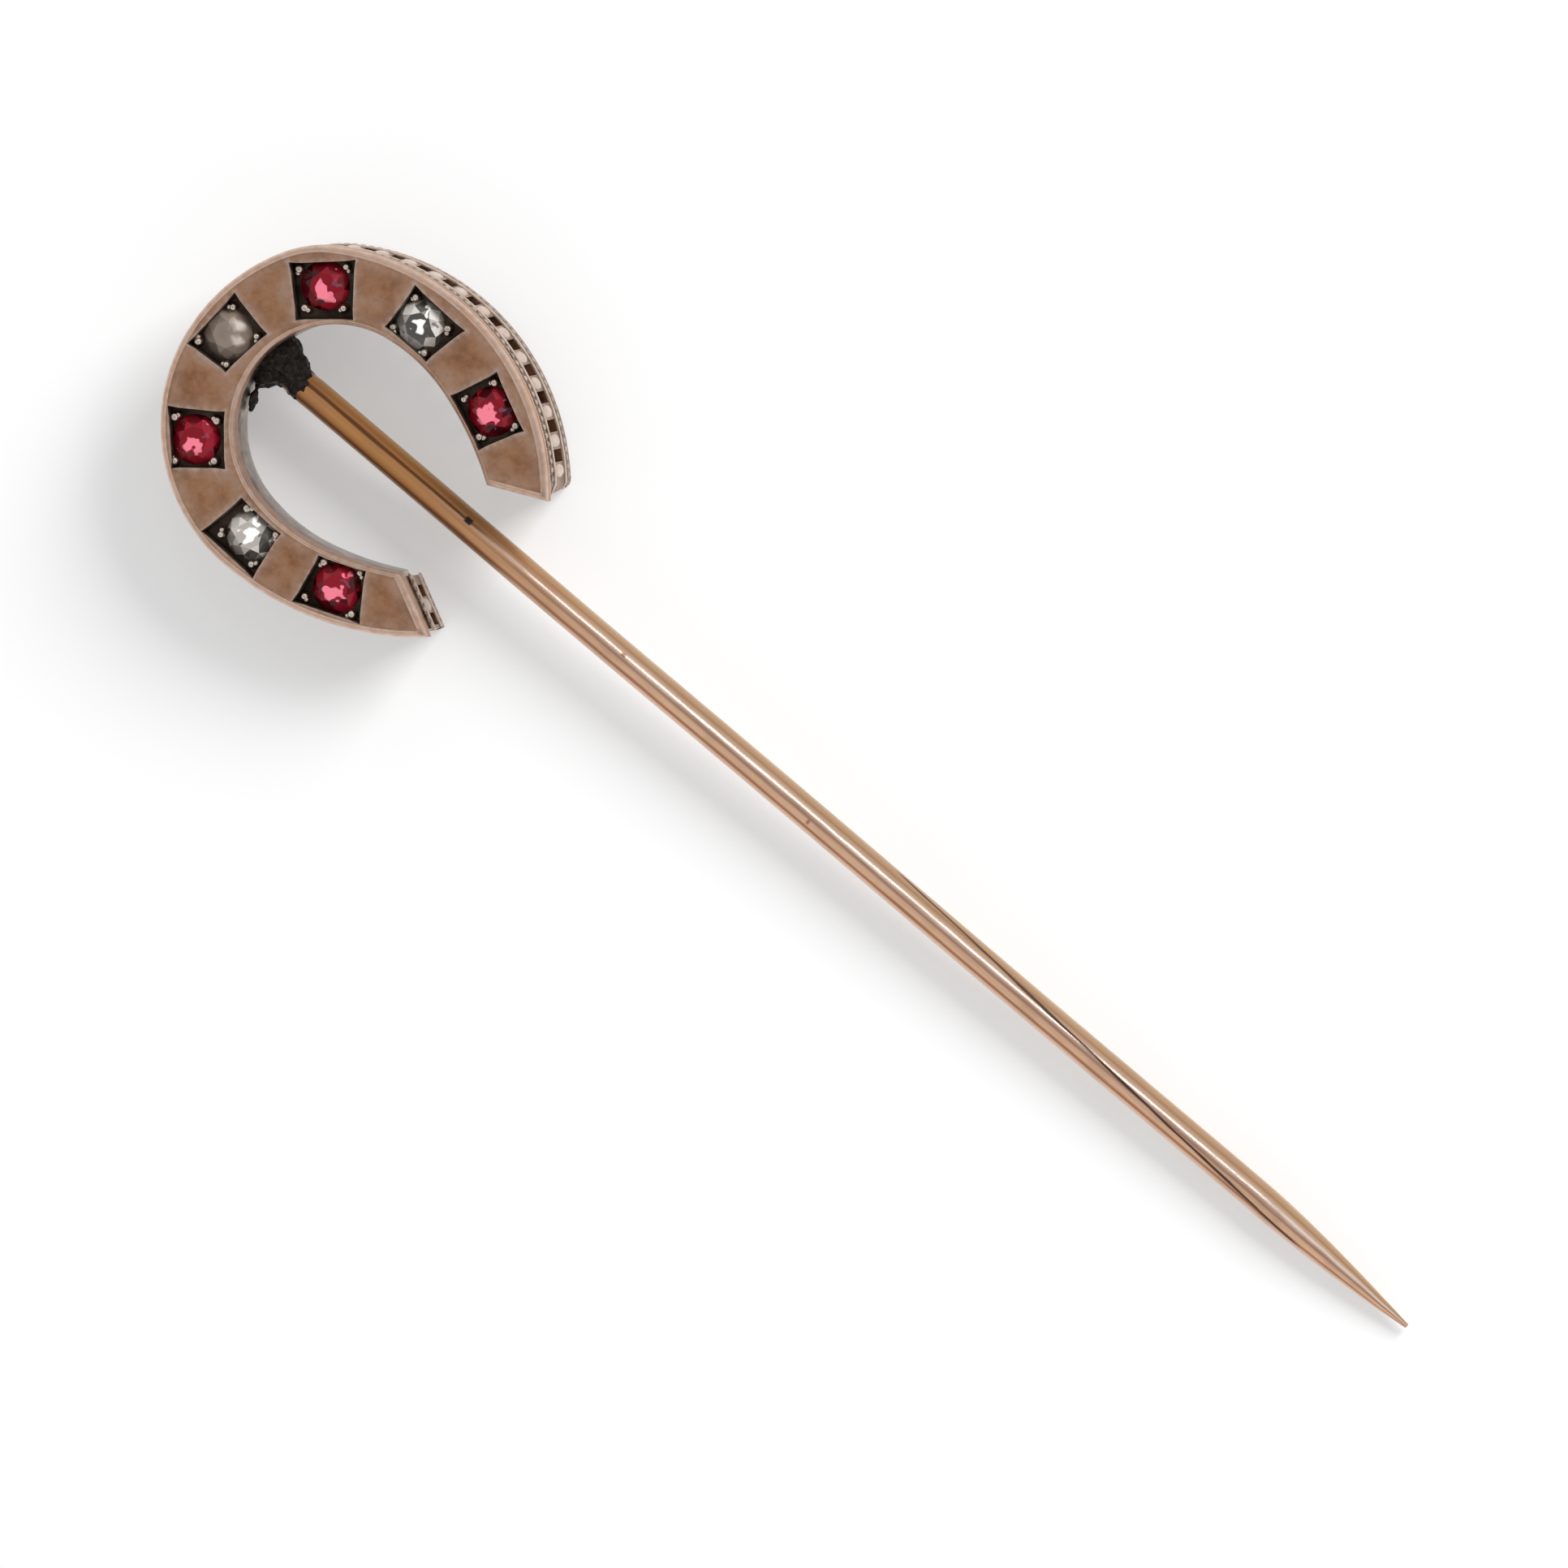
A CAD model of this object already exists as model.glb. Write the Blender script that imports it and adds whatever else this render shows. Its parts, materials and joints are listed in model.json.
import json
import math
import random

import bmesh
import bpy
import numpy as np
from mathutils import Matrix, Vector, noise
from mathutils.geometry import delaunay_2d_cdt


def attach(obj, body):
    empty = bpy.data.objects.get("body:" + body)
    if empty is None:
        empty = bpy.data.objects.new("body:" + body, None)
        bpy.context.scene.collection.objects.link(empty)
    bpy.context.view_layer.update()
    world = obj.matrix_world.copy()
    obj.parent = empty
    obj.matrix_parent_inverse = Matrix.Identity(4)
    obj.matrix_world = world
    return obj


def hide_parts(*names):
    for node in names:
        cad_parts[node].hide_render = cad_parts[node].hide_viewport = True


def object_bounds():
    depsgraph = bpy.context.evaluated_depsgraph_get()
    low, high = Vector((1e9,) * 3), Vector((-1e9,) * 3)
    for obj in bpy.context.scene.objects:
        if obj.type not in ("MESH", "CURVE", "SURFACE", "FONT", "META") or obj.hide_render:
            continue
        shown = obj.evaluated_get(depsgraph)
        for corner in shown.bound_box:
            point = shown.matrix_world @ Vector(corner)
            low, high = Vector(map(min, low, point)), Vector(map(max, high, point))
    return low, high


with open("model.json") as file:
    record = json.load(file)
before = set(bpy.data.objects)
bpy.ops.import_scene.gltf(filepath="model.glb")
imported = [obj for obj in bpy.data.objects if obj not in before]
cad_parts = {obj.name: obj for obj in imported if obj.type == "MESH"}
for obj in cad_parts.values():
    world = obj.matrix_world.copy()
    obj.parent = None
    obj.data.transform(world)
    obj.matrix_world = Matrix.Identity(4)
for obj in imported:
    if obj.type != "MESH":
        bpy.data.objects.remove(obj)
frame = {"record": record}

cad_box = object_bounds()

# The pin lies face up on a smooth white surface, held off it by the heels of the horseshoe and by
# the point. The surface is matt paper. It glows a little, because the shadows in the photograph
# are lighter than plain paper's.
MM = 0.001


def new_finish(name, metal, rough):
    """A new material with its shader's plain settings made."""
    finish = bpy.data.materials.new(name)
    finish.use_nodes = True
    shader = finish.node_tree.nodes["Principled BSDF"]
    shader.inputs["Metallic"].default_value = metal
    shader.inputs["Roughness"].default_value = rough
    return finish, shader


def add_node(finish, kind, settings=None, **sockets):
    """A node of the finish. A socket takes a value, or another node's output to be joined to."""
    made = finish.node_tree.nodes.new(kind)
    for key, value in (settings or {}).items():
        setattr(made, key, value)
    for key, value in sockets.items():
        numbered = key[0] == "s" and key[1:].isdigit()
        socket = made.inputs[int(key[1:]) if numbered else key]
        if isinstance(value, bpy.types.NodeSocket):
            finish.node_tree.links.new(value, socket)
        else:
            socket.default_value = value
    return made


def join(finish, output, socket):
    """Carries a node's output to a socket."""
    finish.node_tree.links.new(output, socket)


def reckon(finish, kind, operation, **sockets):
    """One step of arithmetic, on amounts (Math) or on places and colours (VectorMath)."""
    return add_node(finish, "ShaderNode" + kind, {"operation": operation}, **sockets).outputs[0]


def read_mark(finish, name, output="Fac"):
    """What a mesh's points or facets are marked with under a name."""
    return add_node(finish, "ShaderNodeAttribute", {"attribute_name": name}).outputs[output]


def in_millimetres(finish):
    """The object's own place, with one unit of texture to the millimetre."""
    place = add_node(finish, "ShaderNodeTexCoord").outputs["Object"]
    return reckon(finish, "VectorMath", "SCALE", s0=place, s3=1 / MM)


def patches(finish, size, detail=4.0, rough=0.55, stretch=None):
    """Cloudy noise whose patches are about size millimetres across."""
    place = in_millimetres(finish)
    if stretch:
        place = reckon(finish, "VectorMath", "MULTIPLY", s0=place, s1=stretch)
    cloud = add_node(finish, "ShaderNodeTexNoise", Vector=place, Scale=1 / size, Detail=detail,
                     Roughness=rough)
    return cloud.outputs["Fac"]


def blend_tones(finish, amount, stops):
    """Colours along a ramp of (place, colour)."""
    ramp = add_node(finish, "ShaderNodeValToRGB", Fac=amount)
    points = ramp.color_ramp.elements
    while len(points) < len(stops):
        points.new(0.5)
    for point, (place, colour) in zip(points, stops):
        point.position = place
        point.color = (*colour, 1)
    return ramp.outputs["Color"]


def add_object(name, data):
    """A new object in the scene."""
    made = bpy.data.objects.new(name, data)
    bpy.context.scene.collection.objects.link(made)
    return made


surface_half = 0.9
corners = [(x * surface_half, y * surface_half, 0) for x, y in ((-1, -1), (1, -1), (1, 1), (-1, 1))]
white_surface = bpy.data.meshes.new("white_surface")
white_surface.from_pydata(corners, [], [(0, 1, 2, 3)])
surface = add_object("white_surface", white_surface)
surface_finish, shader = new_finish("white_paper", 0.0, 0.75)
paper_tone = blend_tones(surface_finish, patches(surface_finish, 9.0),
                         [(0.2, (0.615, 0.615, 0.615)), (0.8, (0.625, 0.625, 0.625))])
join(surface_finish, paper_tone, shader.inputs["Base Color"])
shader.inputs["Specular IOR Level"].default_value = 0.2
shader.inputs["Emission Color"].default_value = (1, 1, 1, 1)
shader.inputs["Emission Strength"].default_value = 0.34
white_surface.materials.append(surface_finish)

# The camera looks down from beyond the right arm with a long lens, turned so that the stem runs
# from the upper left to the lower right, as it does in the photograph.
camera_azimuth = math.radians(48.48)
camera_height = math.radians(72.81)
camera_roll = math.radians(261.05)
camera_lens = 1000.0
camera_distance = 1.486
looked_at = Vector((-1.348, 0.322, 1.498)) * MM
toward_camera = Vector((math.cos(camera_height) * math.cos(camera_azimuth),
                        math.cos(camera_height) * math.sin(camera_azimuth),
                        math.sin(camera_height)))
level_right = Vector((-math.sin(camera_azimuth), math.cos(camera_azimuth), 0))
level_up = toward_camera.cross(level_right)
picture_right = level_right * math.cos(camera_roll) + level_up * math.sin(camera_roll)
picture_up = level_up * math.cos(camera_roll) - level_right * math.sin(camera_roll)
camera = add_object("camera", bpy.data.cameras.new("camera"))
camera.data.lens = camera_lens
camera.data.sensor_width = 36.0
camera.data.clip_start = 0.01
camera.data.clip_end = 20.0
camera.matrix_world = Matrix.Translation(looked_at + toward_camera * camera_distance) @ Matrix(
    (picture_right, picture_up, toward_camera)).transposed().to_4x4()
bpy.context.scene.camera = camera
bpy.context.scene.view_settings.view_transform = "Standard"

# Light: a white room whose walls are brighter than the ceiling over the camera, with soft darker
# stretches. One broad lamp from the upper right throws the shadow down to the left, and a small
# bright one near the camera draws the highlight along the stem.
room = bpy.data.worlds.new("white_room")
bpy.context.scene.world = room
room.use_nodes = True
room_light = room.node_tree.nodes["Background"]
room_light.inputs["Strength"].default_value = 1.0


def in_range(finish, value, low, high, first, last):
    """A value from low to high carried over to first to last."""
    ends = {"From Min": low, "From Max": high, "To Min": first, "To Max": last}
    return add_node(finish, "ShaderNodeMapRange", Value=value, **ends).outputs[0]


outward = add_node(room, "ShaderNodeTexCoord").outputs["Generated"]
height_in_room = add_node(room, "ShaderNodeSeparateXYZ", Vector=outward).outputs["Z"]
walls = blend_tones(room, height_in_room, [(0.0, (0.93, 0.93, 0.93)), (0.5, (0.86, 0.86, 0.86)),
                                           (0.84, (0.56, 0.56, 0.56)), (1.0, (0.50, 0.50, 0.50))])
things = add_node(room, "ShaderNodeTexNoise", Vector=outward, Scale=1.9, Detail=2.0).outputs["Fac"]
shade = in_range(room, things, 0.36, 0.62, 0.55, 1.12)
shaded_walls = reckon(room, "VectorMath", "SCALE", s0=walls, s3=shade)
join(room, shaded_walls, room_light.inputs["Color"])


def add_lamp(name, right, up, out, size, power, mirrored):
    """A square lamp at a place given along the picture's right, up and towards the camera."""
    lamp = add_object(name, bpy.data.lights.new(name, "AREA"))
    lamp.data.size = size
    lamp.data.energy = power
    lamp.visible_glossy = mirrored
    place = picture_right * right + picture_up * up + toward_camera * out
    aim = place.to_track_quat("Z", "Y")
    lamp.matrix_world = Matrix.Translation(place) @ aim.to_matrix().to_4x4()


add_lamp("soft_lamp", right=0.40, up=0.40, out=0.62, size=0.36, power=6.8, mirrored=False)
add_lamp("bright_window", right=-0.033, up=0.408, out=0.835, size=0.08, power=0.16, mirrored=True)

# The face plate is sheet gold cut to a horseshoe, its rims rounded by wear, with seven sunk panels
# cut by hand and a drilled seat in each. Each edge is three arcs, and the heels are cut straight
# at a slant. The right arm is fuller at its shoulder than the left.

# The whole pin is drawn in its own place, in millimetres, with the face level and the middle of
# the toe stone at the origin, x along the stem and y across, and is then laid down as it rests.
stem_reach = 53.0
stem_depth = 1.8
horseshoe_lean = -0.9
pin_line = {m["name"]: m for m in frame["record"]["mounts"]}["stem_pin"]
along_pin = Vector(pin_line["axis"])
across_pin = Vector((0, 1, 0))
face_up = along_pin.cross(across_pin)
line_point = Vector(pin_line["pos_m"])
point_of_pin = line_point + along_pin * ((cad_box[1].x - line_point.x) / along_pin.x)
toe = point_of_pin - along_pin * stem_reach * MM + face_up * stem_depth * MM
pin_axes = Matrix((along_pin, across_pin, face_up)).transposed().to_4x4()
stem_place = Matrix.Translation(toe) @ pin_axes @ Matrix.Scale(MM, 4)
horseshoe_place = stem_place @ Matrix.Rotation(math.radians(horseshoe_lean), 4, "Z")

# Each edge: where it starts on the middle line, its three radii, and the turns of the first two
outer_edges = {-1: (-1.19, (6.7, 6.05, 10.7), (7, 83.5)), 1: (-1.19, (7.0, 3.85, 8.4), (30, 25))}
inner_edge = (1.44, (3.65, 6.2, 11.2), (80.5, 25))
inner_edges = {-1: inner_edge, 1: inner_edge}
middle_line = (0.0, (4.5, 5.35, 9.8), (42, 49))
heel_turns = {-1: 132.5, 1: 142.0}
heel_slant = 26.0
half_end = 1.14
plate_edge = 0.6
plate_t = 0.9


def swing(place, radius, turn):
    """From (x, y, heading), the place reached by an arc that turns clockwise."""
    x, y, heading = place
    a = math.radians(heading)
    b = math.radians(heading - turn)
    x += radius * (math.sin(a) - math.sin(b))
    y -= radius * (math.cos(a) - math.cos(b))
    return x, y, heading - turn


def place_on(edge, turn, inset=0.0):
    """Place and heading on an edge at a turn from the toe, moved in towards the mouth."""
    start, (first_r, second_r, third_r), (first, second) = edge
    place = swing((start + inset, 0.0, 90.0), first_r - inset, min(turn, first))
    place = swing(place, second_r - inset, min(max(turn - first, 0), second))
    return swing(place, third_r - inset, max(turn - first - second, 0))


def turn_at(edge, distance):
    """Degrees that an edge has turned at a distance along it from the toe."""
    _, (first_r, second_r, third_r), (first, second) = edge
    one = first_r * math.radians(first)
    two = second_r * math.radians(second)
    if distance < one:
        return math.degrees(distance / first_r)
    if distance < one + two:
        return first + math.degrees((distance - one) / second_r)
    return first + second + math.degrees((distance - one - two) / third_r)


def past_heel(side, x, y):
    """How far a point of the right arm, or the left arm mirrored, lies past the heel's end."""
    cx, cy, _ = place_on(outer_edges[side], heel_turns[side])
    a = math.radians(heel_slant + 180)
    return -(x - cx) * math.sin(a) + (y - cy) * math.cos(a)


def turn_of_end(edges, side, inset, end_inset):
    """Degrees at which an edge meets a heel's end, the end moved back by its inset."""
    low = 90.0
    high = 150.0
    for _ in range(40):
        turn = (low + high) / 2
        x, y, _ = place_on(edges[side], turn, inset)
        if past_heel(side, x, y) < -end_inset:
            low = turn
        else:
            high = turn
    return low


def edge_line(edges, inset, end_inset, count):
    """Points of one edge from the left heel to the right."""
    left = turn_of_end(edges, -1, inset, end_inset)
    right = turn_of_end(edges, 1, inset, end_inset)
    points = []
    for i in range(count + 1):
        turn = -left + (left + right) * i / count
        side = -1 if turn < 0 else 1
        x, y, _ = place_on(edges[side], abs(turn), inset)
        points.append((x, side * y))
    return points


edge_steps = 220
end_steps = 12


def bar_loop(outer_inset, inner_inset, end_inset):
    """The horseshoe's whole outline, each edge moved into the metal by its own inset."""
    outer = edge_line(outer_edges, outer_inset, end_inset, edge_steps)
    inner = edge_line(inner_edges, -inner_inset, end_inset, edge_steps)[::-1]
    shares = [i / end_steps for i in range(1, end_steps)]
    right = [tuple(Vector(outer[-1]).lerp(Vector(inner[0]), share)) for share in shares]
    left = [tuple(Vector(inner[-1]).lerp(Vector(outer[0]), share)) for share in shares]
    return outer + right + inner + left


def weld(mesh, reach):
    """Joins the points that meet, drops loose ones and turns the faces outwards."""
    work = bmesh.new()
    work.from_mesh(mesh)
    bmesh.ops.remove_doubles(work, verts=work.verts, dist=reach)
    loose = [v for v in work.verts if not v.link_faces]
    bmesh.ops.delete(work, geom=loose, context="VERTS")
    bmesh.ops.recalc_face_normals(work, faces=work.faces)
    work.to_mesh(mesh)
    work.free()


class Shape:
    """Points and faces that are gathered up for one piece, with how worn each point is."""

    def __init__(self):
        self.points = []
        self.faces = []
        self.worn = []

    def add(self, points, worn=0.0):
        """Adds points and returns their numbers."""
        first = len(self.points)
        self.points += [tuple(p) for p in points]
        self.worn += list(worn) if hasattr(worn, "__len__") else [worn] * len(points)
        return list(range(first, len(self.points)))

    def bridge(self, one, two, closed=True):
        """Quads between two rows of points of the same count."""
        count = len(one)
        for i in range(count if closed else count - 1):
            j = (i + 1) % count
            self.faces.append((one[i], one[j], two[j], two[i]))

    def cap(self, row):
        """One face across a closed row."""
        self.faces.append(tuple(row))

    def build_up(self, rows):
        """Bridges closed rows one after another, and caps the first and the last."""
        for one, two in zip(rows, rows[1:]):
            self.bridge(one, two)
        self.cap(rows[0])
        self.cap(rows[-1])

    def run_along(self, rows):
        """Bridges the long rows of a bar all the way round it, and caps its two ends."""
        for one, two in zip(rows, rows[1:] + rows[:1]):
            self.bridge(one, two, closed=False)
        self.cap([row[0] for row in rows])
        self.cap([row[-1] for row in rows])

    def piece(self, name, finish, place, smooth=True, sharp=40.0, marks=None):
        """The finished goldwork piece, laid down with the pin and riding on it."""
        mesh = bpy.data.meshes.new(name)
        mesh.from_pydata([place @ Vector(p) for p in self.points], [], self.faces)
        for key, values in {"worn": self.worn, **(marks or {})}.items():
            mark = mesh.attributes.new(key, "FLOAT", "POINT")
            mark.data.foreach_set("value", np.array(values, np.float32))
        weld(mesh, 1e-7)
        if smooth:
            mesh.shade_smooth()
            mesh.set_sharp_from_angle(angle=math.radians(sharp))
        mesh.materials.append(finish)
        made = add_object(name, mesh)
        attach(made, "root")
        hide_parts("goldwork")


def mix(finish, amount, below, above):
    """One colour over another by an amount."""
    made = finish.node_tree.nodes.new("ShaderNodeMix")
    made.data_type = "RGBA"
    for number, value in ((0, amount), (6, below), (7, above)):
        socket = made.inputs[number]
        if isinstance(value, bpy.types.NodeSocket):
            finish.node_tree.links.new(value, socket)
        else:
            socket.default_value = value if isinstance(value, float) else (*value, 1)
    return made.outputs[2]


def roughen(finish, shader, height, strength, distance=0.02):
    """Bump of a real depth, given in millimetres."""
    bump = add_node(finish, "ShaderNodeBump", Height=height, Strength=strength,
                    Distance=distance * MM)
    join(finish, bump.outputs["Normal"], shader.inputs["Normal"])


def gold_finish(name, tones, rim, rough, cloud=0.9):
    """Old rose gold: tarnish clouds between three tones, and a paler tone where it is worn."""
    finish, shader = new_finish(name, 1.0, rough)
    clouds = patches(finish, cloud, detail=6.0, rough=0.6)
    tone = blend_tones(finish, clouds, [(0.36, tones[0]), (0.52, tones[1]), (0.68, tones[2])])
    specks = in_range(finish, patches(finish, 0.16, detail=3.0), 0.52, 0.72, 0.0, 0.35)
    tone = mix(finish, specks, tone, tones[0])
    worn = read_mark(finish, "worn")
    broken = in_range(finish, patches(finish, 0.3), 0.3, 0.7, 0.55, 1.2)
    amount = add_node(finish, "ShaderNodeMath", {"operation": "MULTIPLY", "use_clamp": True},
                      s0=worn, s1=broken).outputs[0]
    join(finish, mix(finish, amount, tone, rim), shader.inputs["Base Color"])
    roughness = in_range(finish, clouds, 0.3, 0.7, rough - 0.07, rough + 0.1)
    join(finish, roughness, shader.inputs["Roughness"])
    roughen(finish, shader, patches(finish, 0.12, detail=6.0, rough=0.65), 0.55, 0.012)
    return finish


face_gold = gold_finish("satin_rose_gold",
                        ((0.40, 0.19, 0.10), (0.56, 0.29, 0.165), (0.58, 0.37, 0.26)),
                        rim=(0.74, 0.58, 0.49), rough=0.44)
dark_gold = gold_finish("tarnished_gold",
                        ((0.03, 0.02, 0.015), (0.07, 0.05, 0.038), (0.12, 0.09, 0.07)),
                        rim=(0.62, 0.48, 0.38), rough=0.5)

pocket_depth = 0.4
floor_share = 0.95
spur = 0.05
lip_share = 0.35
lip_depth = 0.07
seat_r = 0.87
seat_waist = 0.68
seat_waist_depth = 0.8

# Each panel: its stone, the arm, the stone's distance from the toe and how far it stands out of
# the middle of the bar. Then its corners, measured from the stone along the bar and out across
# it, in the order inner near the toe, inner far, outer far, outer near.
panels = [
    ("diamond_toe", 1, 0.0, 0.0,
     ((-0.97, -0.81), (0.96, -1.09), (1.29, 0.65), (-1.10, 0.82))),
    ("ruby_left_toe", -1, 3.85, 0.17,
     ((-0.80, -1.22), (1.11, -0.96), (0.84, 0.88), (-1.25, 0.72))),
    ("diamond_left", -1, 7.65, 0.0,
     ((-1.01, -0.80), (0.80, -0.80), (1.06, 0.98), (-1.31, 0.98))),
    ("ruby_left_heel", -1, 11.2, 0.02,
     ((-0.88, -0.86), (0.83, -0.92), (1.22, 0.82), (-1.24, 0.91))),
    ("ruby_right_toe", 1, 3.95, 0.08,
     ((-0.97, -1.14), (1.03, -1.15), (1.16, 0.86), (-1.15, 0.79))),
    ("diamond_right", 1, 7.65, -0.12,
     ((-0.86, -0.72), (0.96, -0.75), (1.37, 0.92), (-0.92, 1.03))),
    ("ruby_right_heel", 1, 11.55, 0.02,
     ((-1.10, -0.95), (0.96, -0.93), (1.10, 0.76), (-1.07, 0.86))),
]


def stone_place(side, distance, out):
    """Turns and moves a stone's own place to the bar's: x along it and y out across it."""
    x, y, heading = place_on(middle_line, turn_at(middle_line, distance))
    place = Matrix.Translation((x, y, 0)) @ Matrix.Rotation(math.radians(heading), 4, "Z")
    if side < 0:
        place = Matrix.Scale(-1, 4, (0, 1, 0)) @ place
    return place @ Matrix.Translation((0, out, 0))


def panel_outline(corners, drawn_out, steps=6):
    """A panel's outline, its corners drawn out a little where the graver ran on."""
    outline = []
    for i, corner in enumerate(corners):
        here = Vector(corner)
        after = Vector(corners[(i + 1) % 4])
        outline.append(here + here.normalized() * drawn_out)
        outline += [here.lerp(after, k / steps) for k in range(1, steps)]
    return outline


def inside(point, outline):
    """Whether a flat point lies in a closed outline."""
    found = False
    for a, b in zip(outline, outline[1:] + outline[:1]):
        if (a.y > point.y) != (b.y > point.y):
            if point.x < (b.x - a.x) * (point.y - a.y) / (b.y - a.y) + a.x:
                found = not found
    return found


sheet_wave = 0.006
wave_fineness = 2.2
still_rim = 0.3
rim_rub = 0.4
rub_reach = 0.5


def fill_flat(shape, outline, holes, height, spacing, worn_reach):
    """Fills a flat stretch at a height between an outline and its holes with small faces."""
    rows = [outline] + holes
    numbers_of_rims = [i for row in rows for i in row]
    points = [Vector(shape.points[i][:2]) for i in numbers_of_rims]
    edges = []
    for row in rows:
        first = len(edges)
        edges += [(first + k, first + (k + 1) % len(row)) for k in range(len(row))]
    rims = np.array([tuple(p) for p in points])
    borders = rims[len(outline):]
    fixed = len(points)
    rows_2d = []
    for row in rows:
        first = sum(len(r) for r in rows_2d)
        rows_2d.append(points[first:first + len(row)])
    shaken = random.Random(7)
    for gx in np.arange(rims[:, 0].min(), rims[:, 0].max(), spacing):
        for gy in np.arange(rims[:, 1].min(), rims[:, 1].max(), spacing):
            spot = np.array([gx, gy]) + [shaken.uniform(-0.2, 0.2) * spacing for _ in range(2)]
            if np.min(np.hypot(*(rims - spot).T)) > spacing * 0.6:
                points.append(Vector(spot))
    made, _, faces, origin, _, _ = delaunay_2d_cdt(points, edges, [], 0, 1e-5)
    numbers = {}
    for k, source in enumerate(origin):
        rim = [i for i in source if i < fixed]
        if rim:
            numbers[k] = numbers_of_rims[rim[0]]
    loose = [k for k in range(len(made)) if k not in numbers]
    heights = []
    worn = []
    for k in loose:
        spot = np.array(tuple(made[k]))
        to_rim = float(np.min(np.hypot(*(rims - spot).T)))
        to_border = float(np.min(np.hypot(*(borders - spot).T)))
        wave = noise.noise((made[k].x * wave_fineness, made[k].y * wave_fineness, 4.0))
        heights.append(height + sheet_wave * wave * min(1.0, to_rim / still_rim))
        near_border = max(0.0, 1 - to_border / worn_reach) if worn_reach else 0.0
        worn.append(near_border + rim_rub * max(0.0, 1 - to_rim / rub_reach))
    new = shape.add([(made[k].x, made[k].y, h) for k, h in zip(loose, heights)], worn)
    numbers.update(zip(loose, new))
    for corner_list in faces:
        middle = sum((made[k] for k in corner_list), Vector((0, 0))) / len(corner_list)
        if inside(middle, rows_2d[0]) and not any(inside(middle, hole) for hole in rows_2d[1:]):
            shape.faces.append(tuple(numbers[k] for k in corner_list))


# The rim's rings, each with its inset, depth and wear: a bright line, a groove, a bevel, and the
# plate's edge with a fine groove cut along it.
rim_profile = [(0.235, 0.0, 0.1), (0.215, 0.0, 0.95), (0.185, 0.012, 1.0), (0.165, 0.034, 0.45),
               (0.09, 0.065, 0.7), (0.03, 0.11, 1.0), (0.0, 0.17, 0.8), (0.0, 0.27, 0.3),
               (0.03, 0.295, 0.0), (0.03, 0.335, 0.0), (0.0, 0.36, 0.3), (0.0, 0.53, 0.4),
               (0.02, plate_edge, 0.1)]
face = Shape()
rings = []
for inset, depth, worn in rim_profile:
    inner_inset = inset * 0.7 if depth < 0.2 else 0.0
    rings.append(face.add([(x, y, -depth) for x, y in bar_loop(inset, inner_inset, inset)], worn))
for one, two in zip(rings, rings[1:]):
    face.bridge(one, two)
under_loop = bar_loop(outer_inset=0.4, inner_inset=0.25, end_inset=0.5)
low_ring = face.add([(x, y, -plate_edge) for x, y in under_loop])
back_ring = face.add([(x, y, -plate_t) for x, y in under_loop])
face.bridge(rings[-1], low_ring)
face.bridge(low_ring, back_ring)
sunk = Shape()
top_holes = []
back_holes = []
for _, side, distance, out, corners in panels:
    place = stone_place(side, distance, out)
    rim = panel_outline(corners, spur)
    floor_rim = panel_outline([(x * floor_share, y * floor_share) for x, y in corners], 0.0)
    seat = [p.normalized() * seat_r for p in floor_rim]
    seat_low = [p.normalized() * seat_r * seat_waist for p in floor_rim]
    lip = [p.lerp(q, lip_share) for p, q in zip(rim, floor_rim)]
    top_holes.append(face.add([place @ Vector((p.x, p.y, 0)) for p in rim], 1.0))
    rows = []
    levels = ((rim, 0.0, 1.0), (lip, lip_depth, 0.35), (floor_rim, pocket_depth, 0.0),
              (seat, pocket_depth, 0.0), (seat_low, seat_waist_depth, 0.0),
              (seat_low, plate_t, 0.0))
    for outline, depth, worn in levels:
        rows.append(sunk.add([place @ Vector((p.x, p.y, -depth)) for p in outline], worn))
    for one, two in zip(rows, rows[1:]):
        sunk.bridge(one, two)
    back_holes.append(face.add([place @ Vector((p.x, p.y, -plate_t)) for p in seat_low]))
fill_flat(face, rings[0], top_holes, height=0.0, spacing=0.13, worn_reach=0.13)
fill_flat(face, back_ring, back_holes, height=-plate_t, spacing=0.5, worn_reach=0.0)
face.piece("face_plate", face_gold, horseshoe_place)
sunk.piece("sunk_panels", dark_gold, horseshoe_place, smooth=False)

# Four grains are raised with a graver at the corners of each panel and pushed over the stone's
# edge. Each is two lobes, and they are the brightest gold on the pin, rubbed by cloth for years.
grain_spots = [
    ((-0.80, -0.64), (0.62, -0.84), (0.84, 0.42), (-0.84, 0.61)),
    ((-0.52, -0.84), (0.80, -0.56), (0.61, 0.80), (-0.84, 0.58)),
    ((-0.66, -0.62), (0.68, -0.62), (0.68, 0.70), (-0.76, 0.66)),
    ((-0.68, -0.68), (0.62, -0.77), (0.80, 0.63), (-0.93, 0.63)),
    ((-0.70, -0.74), (0.66, -0.76), (0.78, 0.62), (-0.86, 0.56)),
    ((-0.68, -0.60), (0.70, -0.61), (0.84, 0.56), (-0.68, 0.68)),
    ((-0.78, -0.64), (0.56, -0.75), (0.80, 0.54), (-0.80, 0.56)),
]
grain_rows = 6
grain_sides = 12
grain_foot = 1.12
grain_root = 0.02
grain_rise = 0.03
small_lobe = 0.72
grains = Shape()


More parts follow.
